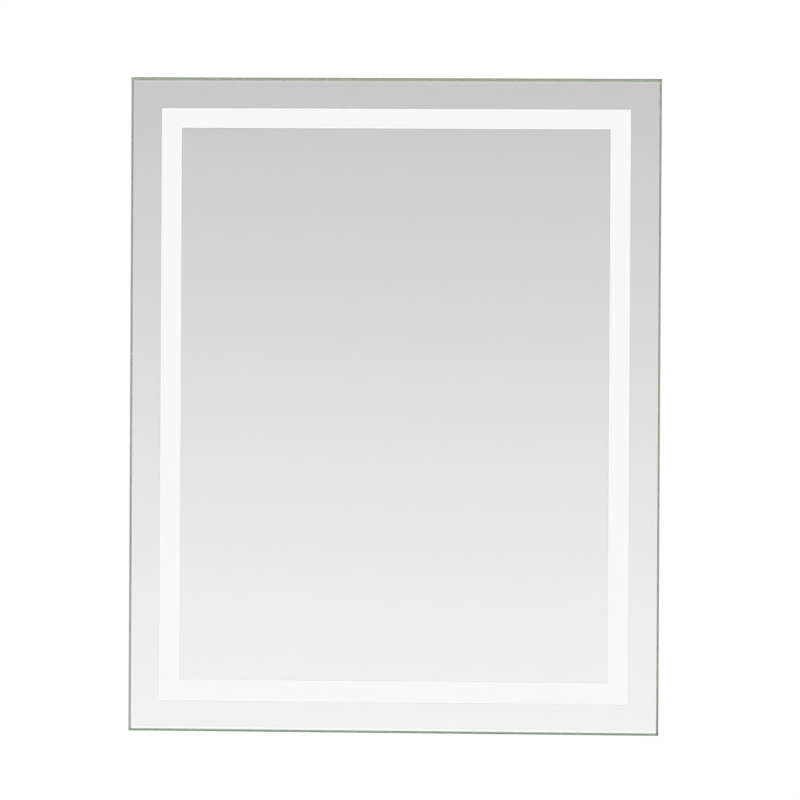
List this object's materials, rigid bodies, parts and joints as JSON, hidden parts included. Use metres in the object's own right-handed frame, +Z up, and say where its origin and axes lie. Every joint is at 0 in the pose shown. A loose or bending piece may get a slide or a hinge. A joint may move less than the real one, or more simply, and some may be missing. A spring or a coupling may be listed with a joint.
{
  "type": "lighted wall mirror",
  "caption": "Frameless bathroom wall mirror with a lit matt band set in from its edge, on a shallow metal back box that hooks over a rail screwed to the wall.",
  "frame": {"origin": "middle of the row of screw slots in the wall rail, on the wall plane", "axes": "+X to the right of a person who faces the mirror, +Y into the wall (the glass faces -Y), +Z up"},
  "size_m": [0.65, 0.043, 0.8],
  "materials": {
    "float_glass": "clear, green-tinted at the edges, ground edge",
    "silvering": "polished silver under glass, painted on the back",
    "matt_band": "matt, lit from behind",
    "opal": "opal, translucent",
    "edge_lacquer": "grey-green sealing lacquer",
    "foam_tape": "fine-celled foam",
    "frame_alu": "satin anodised, fine lines along the extrusion",
    "key_zinc": "die-cast zinc",
    "panel_steel": "zinc-coated steel sheet with a fine spangle",
    "rail_steel": "bright zinc plate",
    "screw_steel": "bright zinc plate",
    "board": "white solder mask",
    "led": "phosphor window in a white case",
    "box_plastic": "fine spark texture",
    "driver_case": "fine texture",
    "block_plastic": "clear-cut moulding",
    "rubber_black": "soft, matt",
    "wire_red": "PVC sheath",
    "wire_black": "PVC sheath",
    "wire_brown": "PVC sheath",
    "wire_blue": "PVC sheath",
    "wire_earth": "PVC sheath, green with a yellow stripe",
    "clip_plastic": "natural nylon",
    "tinned": "tinned"
  },
  "bodies": {
    "wall_part": {"wall_rail": "rail_steel"},
    "mirror_unit": {"mirror_glass": "float_glass", "silver_centre": "silvering", "silver_border": "silvering", "frosted_band": "matt_band", "edge_seal": "edge_lacquer", "diffuser_top": "opal", "diffuser_bottom": "opal", "diffuser_left": "opal", "diffuser_right": "opal", "bonding_tape": "foam_tape", "frame_top": "frame_alu", "frame_bottom": "frame_alu", "frame_left": "frame_alu", "frame_right": "frame_alu", "corner_keys": "key_zinc", "corner_key_screws": "screw_steel", "wall_bumpers": "rubber_black", "led_strip_top": "board", "led_strip_bottom": "board", "led_strip_left": "board", "led_strip_right": "board", "led_chips": "led", "strip_jumpers": "wire_black", "led_driver": "driver_case", "driver_screws": "screw_steel", "driver_box": "box_plastic", "driver_box_gasket": "foam_tape", "driver_box_screws": "screw_steel", "driver_box_lid": "box_plastic", "lid_screws": "screw_steel", "terminal_block": "block_plastic", "terminal_screws": "tinned", "cord_clamp": "box_plastic", "cord_clamp_screws": "screw_steel", "cable_grommet": "rubber_black", "lead_grommet": "rubber_black", "earth_grommet": "rubber_black", "mains_lead_brown": "wire_brown", "mains_lead_blue": "wire_blue", "led_lead_red": "wire_red", "led_lead_black": "wire_black", "lead_clips": "clip_plastic", "earth_lead": "wire_earth", "earth_tag": "tinned", "earth_stud": "screw_steel", "earth_nut": "screw_steel", "back_panel": "panel_steel", "panel_screws": "screw_steel", "hanging_rail": "rail_steel", "hanging_rail_screws": "screw_steel", "hanging_rail_nuts": "screw_steel"}
  },
  "joints": [
    {"name": "lift_off", "type": "slide", "parent": "wall_part", "child": "mirror_unit", "axis": [0, 0, 1], "range_m": [0, 0.016]}
  ]
}
